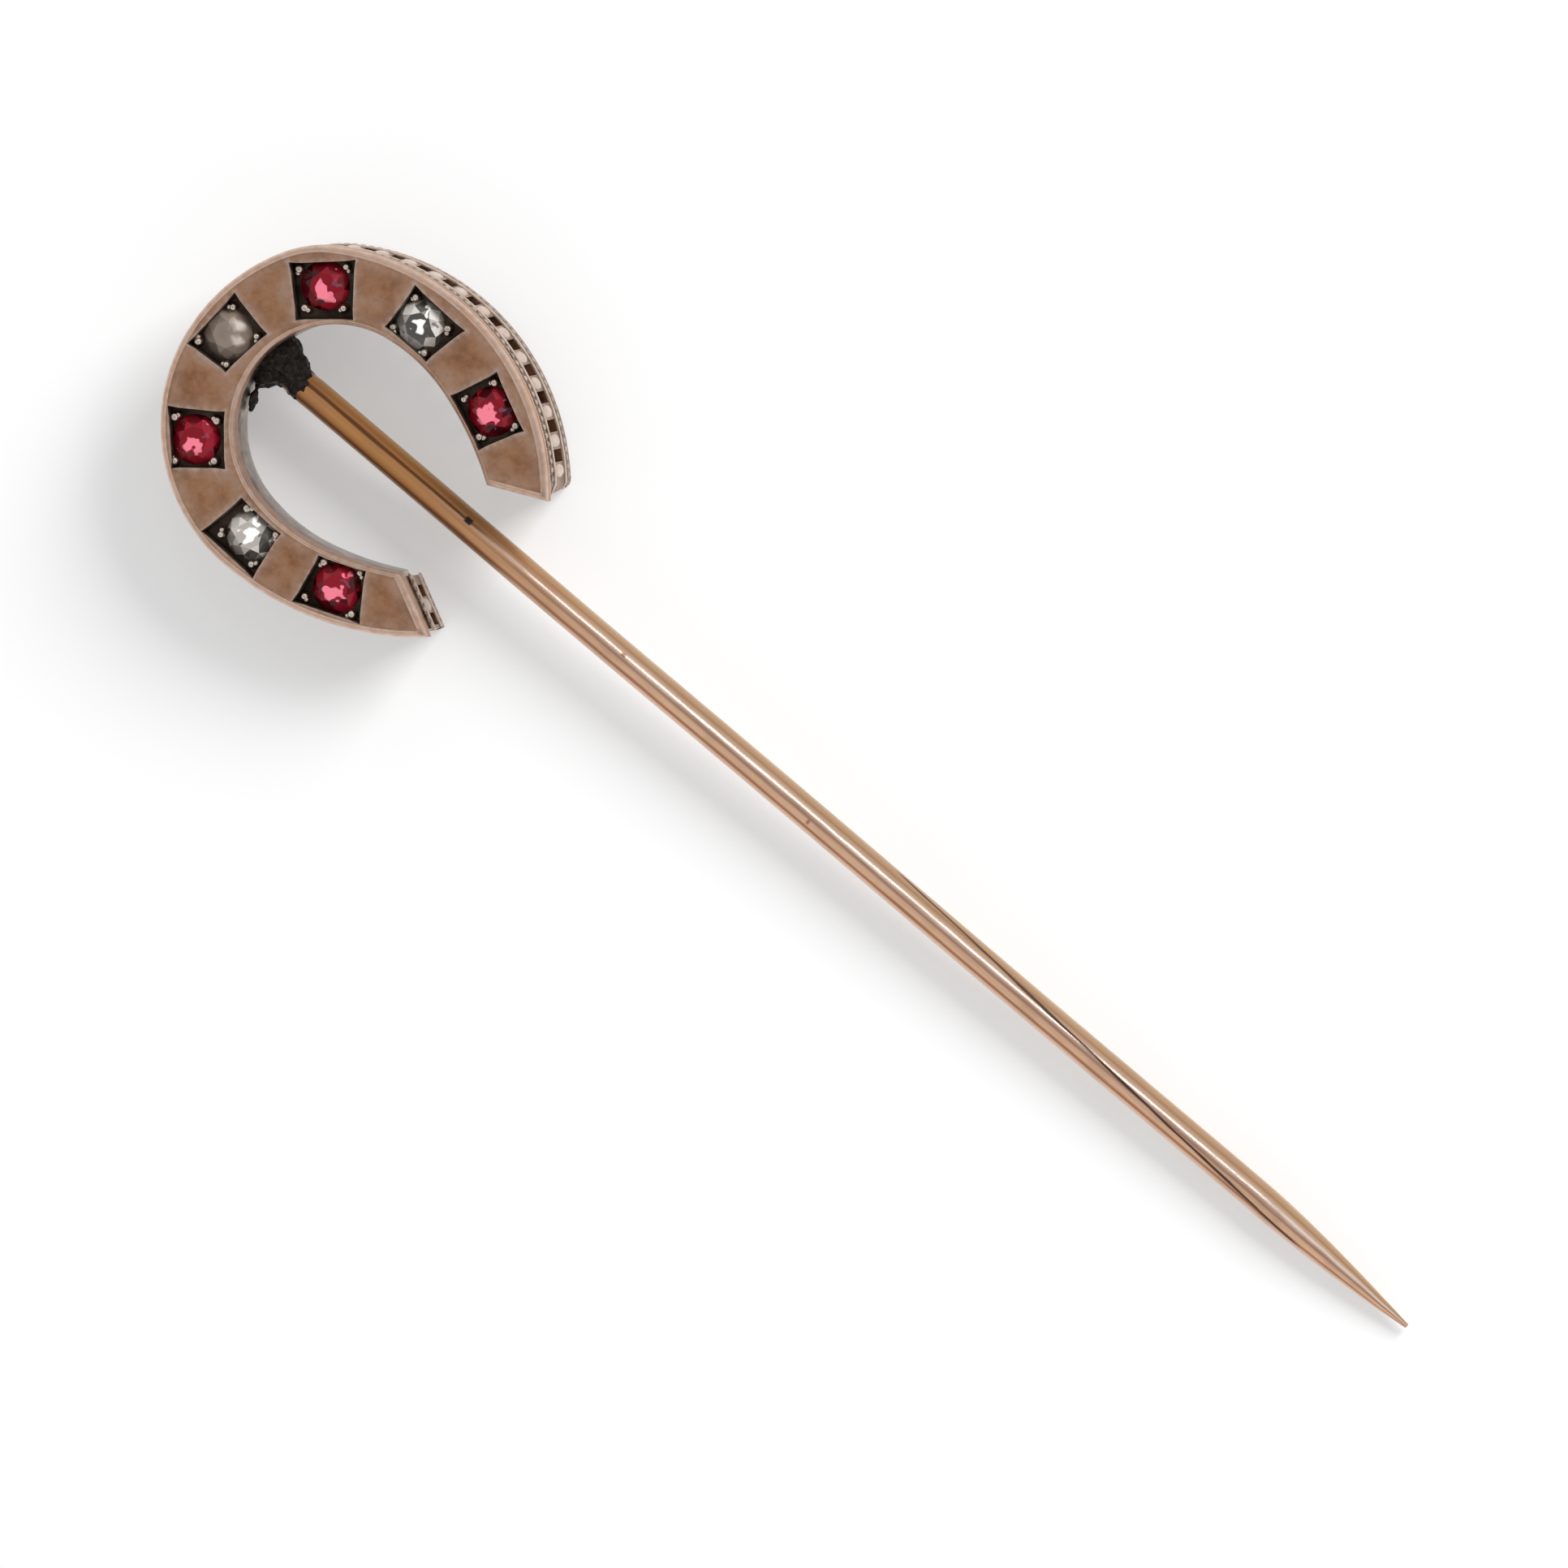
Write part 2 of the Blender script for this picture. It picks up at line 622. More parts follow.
def add_grain(place, x, y, wide, top):
    """One lobe of a grain, standing on the panel's floor."""
    rows = []
    for k in range(-1, grain_rows + 1):
        a = math.pi / 2 * max(k, 0) / grain_rows
        r = wide * max(0.1, math.cos(a) ** 0.7)
        height = -pocket_depth + grain_rise + (pocket_depth - grain_rise - top) * math.sin(a)
        if k < 0:
            r = wide * grain_foot
            height = -pocket_depth - grain_root
        turns = [2 * math.pi * j / grain_sides for j in range(grain_sides)]
        ring = [place @ Vector((x + r * math.cos(b), y + r * math.sin(b), height)) for b in turns]
        rows.append(grains.add(ring, math.sin(a)))
    grains.build_up(rows)


shaken = random.Random(3)
for (_, side, distance, out, _), spots in zip(panels, grain_spots):
    place = stone_place(side, distance, out)
    for x, y in spots:
        away = Vector((x, y)).normalized()
        wide = shaken.uniform(0.15, 0.19)
        slip = shaken.choice((-1, 1)) * shaken.uniform(0.12, 0.17)
        add_grain(place, x + away.x * 0.03, y + away.y * 0.03, wide, shaken.uniform(0.06, 0.1))
        add_grain(place, x - away.y * slip, y + away.x * slip, wide * small_lobe,
                  shaken.uniform(0.12, 0.18))
grain_gold = gold_finish("bright_grains",
                         ((0.20, 0.12, 0.08), (0.52, 0.38, 0.29), (0.72, 0.60, 0.52)),
                         rim=(0.86, 0.76, 0.68), rough=0.24, cloud=0.2)
grains.piece("grains", grain_gold, horseshoe_place, sharp=70.0)

# The gallery is a strip of gold pierced with a row of windows, bent round the horseshoe and
# soldered under the plate. It goes round both heels, and its corners there are taken off.
gallery_depth = 3.6
gallery_inset = 0.15
heel_inset = 0.17
heel_lean = 0.1
gallery_t = 0.27
corner_trim = 0.3
window_pitch = 1.05
first_window_at = 0.88
windows_per_side = 16
window_w = 0.44
window_h = 1.1
window_depth = 2.2
upper_row_at = 1.2
lower_row_at = 3.1
heel_window_at = 0.52
windows = [first_window_at + i * window_pitch for i in range(-windows_per_side, windows_per_side)]
heel_windows = (-heel_window_at, heel_window_at)


def distance_at(edge, turn):
    """Distance from the toe along an edge that has turned so far."""
    _, (first_r, second_r, third_r), (first, second) = edge
    one = first_r * math.radians(min(turn, first))
    two = second_r * math.radians(min(max(turn - first, 0), second))
    return one + two + third_r * math.radians(max(turn - first - second, 0))


def corner_distance(side):
    """Distance from the toe to where the strip's corner is taken off."""
    turn = turn_of_end(outer_edges, side, gallery_inset, heel_inset)
    return distance_at(outer_edges[side], turn) - corner_trim


def heel_point(side, x, out):
    """A point by a heel's straight end: x along it from its middle, inwards, and out past it."""
    cx, cy, _ = place_on(outer_edges[side], heel_turns[side])
    a = math.radians(heel_slant + 180)
    u = x + half_end
    px = cx + u * math.cos(a) - out * math.sin(a)
    py = cy + u * math.sin(a) + out * math.cos(a)
    return px, side * py


def strip_point(station, inset, depth=window_depth):
    """A point of the strip at (0, distance right of the toe) or, on a heel's end, (side, x)."""
    where, at = station
    if where:
        lean = heel_lean * (depth - window_depth)
        return heel_point(where, at, -(inset - gallery_inset + heel_inset + lean))
    side = -1 if at < 0 else 1
    x, y, _ = place_on(outer_edges[side], turn_at(outer_edges[side], abs(at)), inset)
    return x, side * y


def is_open(one, two):
    """Whether the strip is pierced between two stations."""
    middles = heel_windows if one[0] else windows
    here = (one[1] + two[1]) / 2
    return one[0] == two[0] and any(abs(here - middle) < window_w / 2 for middle in middles)


edge_stops = (-corner_distance(-1), corner_distance(1))
heel_stops = (corner_trim - half_end - 0.02, half_end - 0.04)
bar_w = window_pitch - window_w
along_edge = [w + window_w / 4 * k for w in windows for k in (-2, -1, 0, 1, 2)]
along_edge += [w + window_w / 2 + bar_w / 4 * k for w in windows for k in (1, 2, 3)]
along_edge = [s for s in sorted(along_edge) if edge_stops[0] + 0.05 < s < edge_stops[1] - 0.05]
along_heel = [m + k * window_w / 2 for m in heel_windows for k in (-1, 0, 1)]
along_heel = [heel_stops[0]] + along_heel + [heel_stops[1]]
stations = [(-1, x) for x in along_heel[::-1]] + [(0, edge_stops[0])] + [(0, s) for s in along_edge]
stations += [(0, edge_stops[1])] + [(1, x) for x in along_heel]
opening = [is_open(one, two) for one, two in zip(stations, stations[1:])]


def strip_row(shape, inset, depth, worn=0.0):
    """A row of points round the whole strip."""
    return shape.add([(*strip_point(s, inset, depth), -depth) for s in stations], worn)


gallery = Shape()
depths = [plate_edge - 0.05, upper_row_at, window_depth - window_h / 2, window_depth,
          window_depth + window_h / 2, lower_row_at, gallery_depth]
window_rows = (2, 3)
outer_grid = [strip_row(gallery, gallery_inset, depth, 0.15) for depth in depths]
inner_grid = [strip_row(gallery, gallery_inset + gallery_t, depth) for depth in depths]


def is_window(row, col):
    """Whether one cell of the strip is pierced away."""
    return row in window_rows and 0 <= col < len(opening) and opening[col]


def add_wall(one, two):
    """A face through the strip's thickness between two corners, each (row, column)."""
    gallery.faces.append((outer_grid[one[0]][one[1]], outer_grid[two[0]][two[1]],
                          inner_grid[two[0]][two[1]], inner_grid[one[0]][one[1]]))


for row in range(len(depths) - 1):
    for col in range(len(stations) - 1):
        if not is_window(row, col):
            for grid in (outer_grid, inner_grid):
                gallery.faces.append((grid[row][col], grid[row][col + 1], grid[row + 1][col + 1],
                                      grid[row + 1][col]))
            continue
        for edge_row, other in ((row, row - 1), (row + 1, row + 1)):
            if not is_window(other, col):
                add_wall((edge_row, col), (edge_row, col + 1))
        for edge_col, other in ((col, col - 1), (col + 1, col + 1)):
            if not is_window(row, other):
                add_wall((row, edge_col), (row + 1, edge_col))
gallery.bridge(outer_grid[0], inner_grid[0], closed=False)
gallery.bridge(outer_grid[-1], inner_grid[-1], closed=False)
for col in (0, -1):
    for row in range(len(depths) - 1):
        add_wall((row, col), (row + 1, col))
gallery_gold = gold_finish("gallery_gold",
                           ((0.12, 0.07, 0.045), (0.30, 0.19, 0.13), (0.46, 0.33, 0.25)),
                           rim=(0.80, 0.64, 0.54), rough=0.38)
gallery.piece("pierced_gallery", gallery_gold, horseshoe_place)

# Two fine wires run round the gallery over and under its windows, and an oval boss is raised on
# each bar between two windows. Their tops are worn pale.
wire_r = 0.065
wire_turns = [math.radians(d) for d in (-70, -35, 0, 35, 70)]
wire_worn = [0.1, 0.5, 0.9, 1.0, 0.9, 0.5, 0.1]
wire_rows = ((1.5, 0.06), (2.9, 0.08))
rooted = 0.17
boss_half_w = 0.25
boss_half_h = 0.53
boss_proud = 0.08
boss_rings = 5
boss_sides = 16
bosses = Shape()


def sweep(shape, section, worn):
    """Runs a section of (inset, depth) round the strip and closes its ends."""
    shape.run_along([strip_row(shape, inset, depth, w) for (inset, depth), w in zip(section, worn)])


for depth, top in wire_rows:
    half_round = [(top + wire_r * (1 - math.cos(a)), depth + wire_r * math.sin(a))
                  for a in wire_turns]
    sweep(bosses, [(rooted, depth - wire_r)] + half_round + [(rooted, depth + wire_r)], wire_worn)


def add_boss(where, at):
    """An oval boss standing on the strip at a station."""
    rows = []
    for k in range(-1, boss_rings):
        a = math.pi / 2 * max(k, 0) / boss_rings
        share = math.cos(a)
        lift = math.sin(a)
        inset = gallery_inset + 0.05 if k < 0 else gallery_inset - boss_proud * lift
        ring = []
        for j in range(boss_sides):
            b = 2 * math.pi * j / boss_sides
            depth = window_depth + boss_half_h * share * math.sin(b)
            station = (where, at + boss_half_w * share * math.cos(b))
            ring.append((*strip_point(station, inset, depth), -depth))
        rows.append(bosses.add(ring, 0.2 + 0.8 * lift))
    bosses.build_up(rows)


for i in range(-windows_per_side - 1, windows_per_side):
    add_boss(0, first_window_at + (i + 0.5) * window_pitch)
for side in (-1, 1):
    add_boss(side, 0.0)
boss_gold = gold_finish("rubbed_gallery_gold",
                        ((0.26, 0.16, 0.08), (0.50, 0.35, 0.25), (0.64, 0.50, 0.42)),
                        rim=(0.80, 0.66, 0.58), rough=0.34, cloud=0.5)
bosses.piece("wires_and_bosses", boss_gold, horseshoe_place, sharp=60.0)

# Milgrain: two rows of small beads rolled into the gallery with a knurled wheel, one under the
# plate and one at the back edge. Dirt has stayed between the beads.
bead_pitch = 0.3
bead_r = 0.13
bead_rings = 5
bead_sides = 8
bed_half = 0.15
beads = Shape()


def add_bead(station, depth, inset, proud):
    """One bead on the strip."""
    here = Vector(strip_point(station, inset, depth))
    out = (Vector(strip_point(station, inset - 1, depth)) - here).normalized()
    flat = Vector((-out.y, out.x))
    rows = []
    for k in range(bead_rings):
        a = math.pi / 2 * k / (bead_rings - 0.6)
        r = bead_r * math.cos(a)
        ring = []
        for j in range(bead_sides):
            b = 2 * math.pi * j / bead_sides
            spot = here + out * proud * math.sin(a) + flat * r * math.cos(b)
            ring.append((spot.x, spot.y, -(depth + r * math.sin(b))))
        rows.append(beads.add(ring, 0.7 * math.sin(a)))
    beads.build_up(rows)


bead_stations = [(0, s) for s in np.arange(edge_stops[0] + 0.1, edge_stops[1] - 0.05, bead_pitch)]
for side in (-1, 1):
    bead_stations += [(side, x) for x in np.arange(heel_stops[0] + 0.1, heel_stops[1], bead_pitch)]
# Each row of beads: its depth, the inset of the bed that it stands on, and how far it stands out
for depth, inset, proud in ((1.0, 0.09, 0.07), (3.2, 0.135, 0.055)):
    bed = [(rooted, depth - bed_half - 0.01), (inset, depth - bed_half), (inset, depth + bed_half),
           (rooted, depth + bed_half + 0.01)]
    sweep(beads, bed, [0.0, 0.0, 0.0, 0.0])
    for station in bead_stations:
        add_bead(station, depth, inset, proud)
bead_gold = gold_finish("milgrain_gold",
                        ((0.07, 0.045, 0.03), (0.20, 0.14, 0.10), (0.36, 0.27, 0.20)),
                        rim=(0.86, 0.70, 0.58), rough=0.3, cloud=0.3)
beads.piece("milgrain", bead_gold, horseshoe_place, sharp=70.0)

# The inner band is a plain strip of gold round the mouth of the horseshoe, soldered to the plate.
# It is half as deep as the gallery and has gone a pale greyish pink, brown by the solder seam.
band_depth = 1.85
band_t = 0.3
band_steps = 160
band = Shape()
# The band's section, each point with its inset, depth and wear
band_section = [(0.004, 0.5, 0.0), (0.004, 0.8, 0.0), (0.004, 1.1, 0.3),
                (0.004, band_depth - 0.05, 0.55), (0.05, band_depth, 1.0),
                (band_t - 0.05, band_depth, 0.7), (band_t, band_depth - 0.05, 0.3),
                (band_t, 0.6, 0.0), (0.2, 0.5, 0.0)]
rows = []
for inset, depth, worn in band_section:
    line = edge_line(inner_edges, -inset, heel_inset + 0.02, band_steps)
    rows.append(band.add([(x, y, -depth) for x, y in line], worn))
band.run_along(rows)
band_gold = gold_finish("grey_pink_gold",
                        ((0.13, 0.085, 0.06), (0.34, 0.27, 0.225), (0.62, 0.56, 0.52)),
                        rim=(0.74, 0.69, 0.65), rough=0.32, cloud=0.7)
band.piece("inner_band", band_gold, horseshoe_place)

# The stem is a round wire, drawn by hand and filed to a long point. Its first stretch went golden
# brown when the head was soldered. The wire has a pit, a nick, a scratch, one dark draw line that
# wanders round it, and a slight bend near the point.
stem_r = 0.55
point_l = 6.4
tip_r = 0.08
point_bulge = 1.6
root_start = 1.24
root_r = 0.47
root_end = 3.24
bend_at = 46.2
bend_slope = 0.012
sway_h = 0.012
sway_rate = 0.31
dent_h = 0.008
dent_rate = 1.4
stem_sides = 48
length_steps = 420
facing = math.degrees(math.atan2(toward_camera.z, toward_camera.y))


def stem_radius(x):
    """Radius of the wire at x from the toe stone."""
    if x < root_end:
        return root_r + (stem_r - root_r) * (x - root_start) / (root_end - root_start)
    share = (x - (stem_reach - point_l)) / point_l
    return stem_r if share < 0 else tip_r + (stem_r - tip_r) * (1 - share ** point_bulge)


stem = Shape()
stem_rows = []
lengths = []
turns_round = []
for i in range(length_steps + 1):
    x = root_start + (stem_reach - root_start) * i / length_steps
    r = stem_radius(x)
    calm = 1.0 if root_end < x < stem_reach - 1.0 else 0.0
    sway = sway_h * calm * math.sin(x * sway_rate) - bend_slope * max(0.0, x - bend_at)
    ring = []
    for j in range(stem_sides):
        around = 360 * j / stem_sides - 180
        a = math.radians(around + facing)
        dent = dent_h * noise.noise((x * dent_rate, 2.0 * math.cos(a), 2.0 * math.sin(a))) * calm
        dented_r = r * (1 - abs(dent))
        ring.append((x, sway + dented_r * math.cos(a), -stem_depth + dented_r * math.sin(a)))
        lengths.append(x)
        turns_round.append(around)
    stem_rows.append(stem.add(ring))
stem.build_up(stem_rows)


def near(finish, value, middle, reach, soft):
    """1 where a value lies within reach of its middle, fading to 0 over soft."""
    off = reckon(finish, "Math", "SUBTRACT", s0=value, s1=middle)
    off = reckon(finish, "Math", "ABSOLUTE", s0=off)
    return in_range(finish, off, reach, reach + soft, 1.0, 0.0)


stem_gold, shader = new_finish("stem_gold", 0.7, 0.3)
length = read_mark(stem_gold, "length")
around = read_mark(stem_gold, "around")
drawn = patches(stem_gold, 0.16, detail=5.0, stretch=(0.06, 1.0, 1.0))
clouds = patches(stem_gold, 1.6)
wander = in_range(stem_gold, drawn, 0.3, 0.7, -2.5, 2.5)
drawn_round = reckon(stem_gold, "Math", "ADD", s0=around, s1=wander)
across = in_range(stem_gold, drawn_round, -90, 90, 0.0, 1.0)
pink = blend_tones(stem_gold, across, [
    (0.0, (0.64, 0.48, 0.36)), (0.18, (0.44, 0.28, 0.16)), (0.33, (0.36, 0.21, 0.115)),
    (0.40, (0.56, 0.38, 0.27)), (0.43, (0.95, 0.80, 0.69)), (0.47, (0.95, 0.78, 0.66)),
    (0.50, (0.74, 0.52, 0.42)), (0.55, (0.44, 0.23, 0.14)), (0.60, (0.88, 0.58, 0.39)),
    (0.69, (0.92, 0.55, 0.35)), (0.755, (0.40, 0.17, 0.08)), (0.81, (0.68, 0.40, 0.27)),
    (1.0, (0.95, 0.74, 0.62))])
brown = blend_tones(stem_gold, across, [
    (0.0, (0.46, 0.28, 0.14)), (0.2, (0.46, 0.23, 0.08)), (0.34, (0.38, 0.165, 0.05)),
    (0.42, (0.30, 0.12, 0.035)), (0.47, (0.48, 0.22, 0.075)), (0.58, (0.60, 0.29, 0.10)),
    (0.74, (0.42, 0.17, 0.05)), (0.80, (0.15, 0.06, 0.02)), (0.87, (0.34, 0.17, 0.08)),
    (1.0, (0.5, 0.3, 0.17))])
heat = in_range(stem_gold, length, 8.0, 17.0, 1.0, 0.0)
tone = mix(stem_gold, heat, pink, brown)
tone = mix(stem_gold, in_range(stem_gold, drawn, 0.45, 0.7, 0.0, 0.3), tone, (0.42, 0.23, 0.14))
tone = mix(stem_gold, in_range(stem_gold, clouds, 0.5, 0.7, 0.0, 0.25), tone, (0.36, 0.19, 0.12))
line_turn = reckon(stem_gold, "Math", "MULTIPLY_ADD", s0=length, s1=-6.0, s2=drawn_round)
# Each mark: where along the stem, its reach and softness, then the same round it, and its tone
stem_marks = [
    (6.6, 3.7, 2.0, drawn_round, -14.0, 3.5, 7.0, (0.11, 0.042, 0.014)),
    (10.4, 0.10, 0.08, around, -14.0, 9.0, 6.0, (0.02, 0.012, 0.01)),
    (17.5, 0.05, 0.08, around, -8.0, 4.0, 6.0, (0.40, 0.22, 0.14)),
    (26.1, 0.03, 0.05, around, 22.0, 7.0, 8.0, (0.45, 0.25, 0.16)),
    (39.0, 9.1, 0.5, line_turn, -239.4, 3.0, 3.5, (0.10, 0.055, 0.04)),
]
for at, reach, soft, turn, middle, half, fade, colour in stem_marks:
    in_length = near(stem_gold, length, at, reach, soft)
    in_turn = near(stem_gold, turn, middle, half, fade)
    marked = reckon(stem_gold, "Math", "MULTIPLY", s0=in_length, s1=in_turn)
    tone = mix(stem_gold, marked, tone, colour)
join(stem_gold, tone, shader.inputs["Base Color"])
join(stem_gold, in_range(stem_gold, length, 12.6, 13.4, 0.38, 0.2), shader.inputs["Roughness"])
roughen(stem_gold, shader, drawn, 0.5, 0.008)
stem.piece("stem", stem_gold, stem_place, sharp=60.0,
           marks={"length": lengths, "around": turns_round})

# The head was mended with a rough lump of grey solder where the wire meets the toe, and a sliver
# of it ran along the inner band. It is almost black, crumbly, and glossy where it melted.

# Each lump: its place along and across the stem, its depth, and its radius
solder_lumps = [
    (1.54, 0.10, 1.60, 0.74),
    (2.19, 0.15, 1.66, 0.70),
    (2.84, 0.02, 1.74, 0.60),
    (1.76, 0.72, 1.48, 0.50),
    (2.29, 0.48, 1.52, 0.46),
    (1.69, -0.52, 1.58, 0.48),
]
# Each grade of crumb: its height and how fine it is
crumb_grades = ((0.085, 3.1), (0.06, 7.0), (0.02, 17.0))
shrunk = 0.03
lump_mesh = bpy.data.meshes.new("solder")
lump_work = bmesh.new()
for x, y, depth, r in solder_lumps:
    lump_place = Matrix.Translation((x, y, -depth))
    bmesh.ops.create_icosphere(lump_work, subdivisions=3, radius=r, matrix=lump_place)
sliver = Matrix.Translation((1.86, -1.42, -1.5)) @ Matrix.Rotation(math.radians(25), 4, "Z")
bmesh.ops.create_icosphere(lump_work, subdivisions=3, radius=1.0,
                           matrix=sliver @ Matrix.Diagonal((0.17, 0.5, 0.24, 1.0)))
lump_work.to_mesh(lump_mesh)
lump_work.free()
lump = add_object("solder_work", lump_mesh)
melt = lump.modifiers.new("melt", "REMESH")
melt.mode = "VOXEL"
melt.voxel_size = 0.1
settle = lump.modifiers.new("settle", "SUBSURF")
settle.levels = 1
settle.render_levels = 1
melted = lump.evaluated_get(bpy.context.evaluated_depsgraph_get())
solder = Shape()
bumps = []
for v in melted.data.vertices:
    place = Vector(v.co)
    crumb = sum(height * noise.noise(place * fineness) for height, fineness in crumb_grades)
    bumps.append(place + Vector(v.normal) * (crumb - shrunk))
solder.add(bumps)
solder.faces = [tuple(p.vertices) for p in melted.data.polygons]
bpy.data.objects.remove(lump)
solder_grey, shader = new_finish("grey_solder", 0.7, 0.34)
grit = patches(solder_grey, 0.16, detail=8.0, rough=0.7)
grey = blend_tones(solder_grey, grit, [(0.40, (0.008, 0.006, 0.005)), (0.58, (0.028, 0.021, 0.017)),
                                       (0.70, (0.085, 0.07, 0.06)), (0.80, (0.30, 0.27, 0.25))])
join(solder_grey, grey, shader.inputs["Base Color"])
roughen(solder_grey, shader, grit, 0.9, 0.05)
solder.piece("solder", solder_grey, stem_place, sharp=75.0)

# The stones are cut by hand: an eight-sided table, two rows of facets down to the girdle, and a
# pointed back. Four are rubies and three are diamonds, the one at the toe grey and clouded.
stone_r = 0.88
table_r = 0.47
crown_h = 0.34
shoulder_r = 0.70
shoulder_h = 0.21
girdle_half = 0.015
girdle_depth = 0.42
back_r = 0.34
back_h = -0.42
culet_r = 0.07
culet_h = -0.66
dark_edge = 0.1
cut_sides = 8


def cut_stone(name, place, finish, slot, tones, seed):
    """One cut stone in its seat. Each facet has its own tone, as its polish and light differ."""
    picked = random.Random(seed)
    turned = picked.uniform(0, math.pi / 4)

    def ring(count, r, z, shift):
        """The corners of one level, turned on by a share of their spacing."""
        turns = [turned + 2 * math.pi * (i + shift) / count for i in range(count)]
        return [Vector((r * math.cos(a), r * math.sin(a), z)) for a in turns]

    table = ring(cut_sides, table_r, crown_h, 0.0)
    shoulder = ring(cut_sides, shoulder_r, shoulder_h, 0.5)
    upper = ring(2 * cut_sides, stone_r, girdle_half, 0.0)
    lower = ring(2 * cut_sides, stone_r, -girdle_half, 0.0)
    back = ring(cut_sides, back_r, back_h, 0.5)
    culet = ring(cut_sides, culet_r, culet_h, 0.0)
    facets = [table, culet]
    for i in range(cut_sides):
        j = (i + 1) % cut_sides
        facets += [
            (table[i], table[j], shoulder[i]),
            (table[i], shoulder[i - 1], upper[2 * i], shoulder[i]),
            (shoulder[i], upper[2 * i], upper[2 * i + 1]),
            (shoulder[i], upper[2 * i + 1], upper[2 * j]),
            (lower[2 * i], lower[2 * i + 1], back[i]),
            (lower[2 * i + 1], lower[2 * j], back[i]),
            (lower[2 * i], back[i - 1], culet[i], back[i]),
            (back[i], culet[i], culet[j]),
        ]
    for i in range(2 * cut_sides):
        j = (i + 1) % (2 * cut_sides)
        facets.append((upper[i], upper[j], lower[j], lower[i]))
    points = []
    faces = []
    for facet in facets:
        faces.append(tuple(range(len(points), len(points) + len(facet))))
        points += [place @ p for p in facet]
    mesh = bpy.data.meshes.new(name)
    mesh.from_pydata(points, [], faces)
    tone = mesh.attributes.new("tone", "FLOAT_COLOR", "FACE")
    facet_tones = [(*picked.choice(tones), 1.0) for _ in faces]
    tone.data.foreach_set("color", np.array(facet_tones, np.float32).ravel())
    # Every stone's gleams lie the same way round, so its spots are measured along fixed directions
    middle = place @ Vector((0, 0, 0))
    spots = [((p - middle).dot(picture_right) / MM, (p - middle).dot(picture_up) / MM, 0.0)
             for p in points]
    spot = mesh.attributes.new("spot", "FLOAT_VECTOR", "POINT")
    spot.data.foreach_set("vector", np.array(spots, np.float32).ravel())
    weld(mesh, 1e-8)
    mesh.materials.append(finish)
    made = add_object(name + "_cut", mesh)
    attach(made, "root")
    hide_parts(name)


def stone_finish(name, ior, shine, rough, bend, gleams, rim_tone):
    """A polished stone: facet tones, broken gleams of light in it, and a darker edge."""
    finish, shader = new_finish(name, 0.0, rough)
    shader.inputs["IOR"].default_value = ior
    shader.inputs["Specular IOR Level"].default_value = shine
    tone = read_mark(finish, "tone", "Color")
    spot = read_mark(finish, "spot", "Vector")
    ripple = add_node(finish, "ShaderNodeTexNoise", Vector=in_millimetres(finish), Scale=2.6,
                      Detail=1.0).outputs["Color"]
    ripple = reckon(finish, "VectorMath", "SUBTRACT", s0=ripple, s1=(0.5, 0.5, 0.5))
    ripple = reckon(finish, "VectorMath", "SCALE", s0=ripple, s3=bend)
    bent = reckon(finish, "VectorMath", "ADD", s0=spot, s1=ripple)
    bent = reckon(finish, "VectorMath", "MULTIPLY", s0=bent, s1=(1, 1, 0))
    for x, y, reach, soft, amount, colour in gleams:
        far = add_node(finish, "ShaderNodeVectorMath", {"operation": "DISTANCE"}, s0=bent,
                       s1=(x, y, 0))
        lit = in_range(finish, far.outputs["Value"], reach, reach + soft, amount, 0.0)
        tone = mix(finish, lit, tone, colour)
    far = add_node(finish, "ShaderNodeVectorMath", {"operation": "LENGTH"}, s0=spot)
    edge = in_range(finish, far.outputs["Value"], stone_r - dark_edge, stone_r, 0.0, 0.7)
    tone = mix(finish, edge, tone, rim_tone)
    join(finish, tone, shader.inputs["Base Color"])
    return finish


pink_light = (0.83, 0.20, 0.28)
white_light = (0.98, 0.98, 0.97)
pale_light = (0.56, 0.50, 0.44)
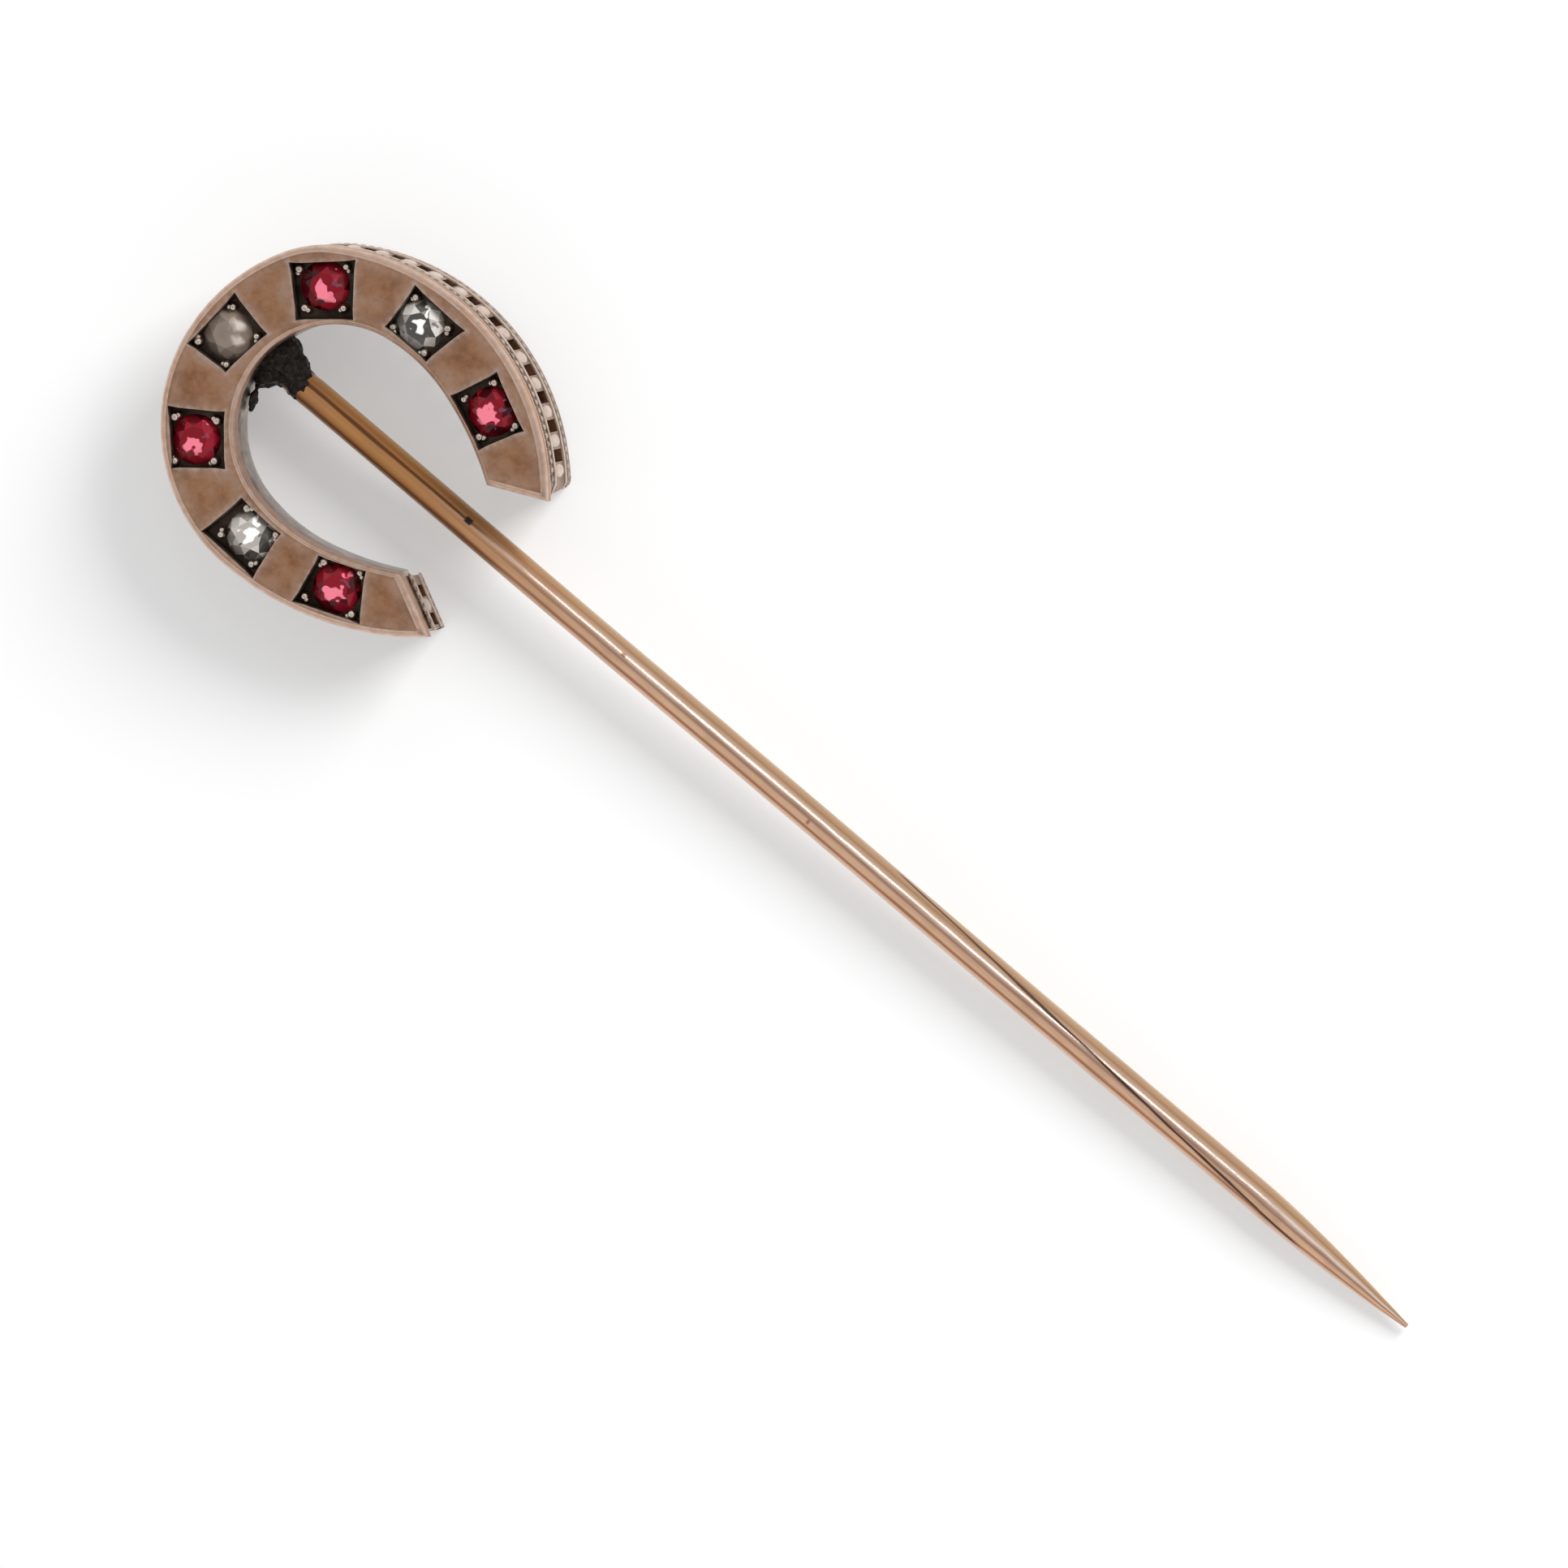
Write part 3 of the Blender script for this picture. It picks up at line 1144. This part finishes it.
# Each gleam: its place on the stone's face, its reach and softness, its strength, and its tone
ruby_gleams = [
    (-0.16, -0.16, 0.27, 0.05, 1.0, pink_light),
    (0.14, -0.34, 0.10, 0.04, 0.9, pink_light),
    (0.34, 0.08, 0.10, 0.05, 0.8, (0.15, 0.05, 0.08)),
    (0.38, 0.44, 0.04, 0.04, 0.8, pink_light),
]
diamond_gleams = [
    (0.0, 0.04, 0.24, 0.06, 0.95, white_light),
    (-0.34, -0.30, 0.10, 0.04, 0.9, (0.05, 0.045, 0.04)),
    (0.40, -0.12, 0.08, 0.04, 0.85, (0.10, 0.09, 0.085)),
    (0.20, 0.48, 0.08, 0.04, 0.9, white_light),
]
cloudy_gleams = [
    (0.30, 0.28, 0.08, 0.22, 0.8, pale_light),
    (0.34, -0.26, 0.06, 0.18, 0.75, pale_light),
    (-0.22, 0.05, 0.12, 0.25, 0.5, (0.16, 0.14, 0.12)),
]
ruby = stone_finish("ruby", ior=1.76, shine=0.15, rough=0.08, bend=0.95, gleams=ruby_gleams,
                    rim_tone=(0.05, 0.004, 0.008))
diamond = stone_finish("diamond", ior=2.2, shine=0.25, rough=0.06, bend=0.9, gleams=diamond_gleams,
                       rim_tone=(0.10, 0.09, 0.085))
cloudy = stone_finish("cloudy_diamond", ior=1.8, shine=0.25, rough=0.22, bend=0.5,
                      gleams=cloudy_gleams, rim_tone=(0.12, 0.10, 0.085))
ruby_tones = [(0.19, 0.003, 0.010), (0.10, 0.002, 0.006), (0.04, 0.001, 0.003),
              (0.26, 0.009, 0.018), (0.22, 0.004, 0.015)]
diamond_tones = [(0.42, 0.38, 0.34), (0.22, 0.20, 0.175), (0.05, 0.045, 0.04), (0.62, 0.58, 0.54),
                 (0.30, 0.27, 0.24)]
cloudy_tones = [(0.185, 0.14, 0.112), (0.21, 0.16, 0.127), (0.165, 0.125, 0.10),
                (0.225, 0.175, 0.14)]
cuts = {"ruby": (ruby, "ruby", ruby_tones), "diamond": (diamond, "diamond", diamond_tones)}
for seed, (name, side, distance, out, _) in enumerate(panels):
    place = horseshoe_place @ stone_place(side, distance, out)
    place = place @ Matrix.Translation((0, 0, -girdle_depth))
    finish, slot, tones = cuts[name.split("_")[0]]
    if name == "diamond_toe":
        finish, slot, tones = cloudy, "cloudy_diamond", cloudy_tones
    cut_stone(name, place, finish, slot, tones, seed)
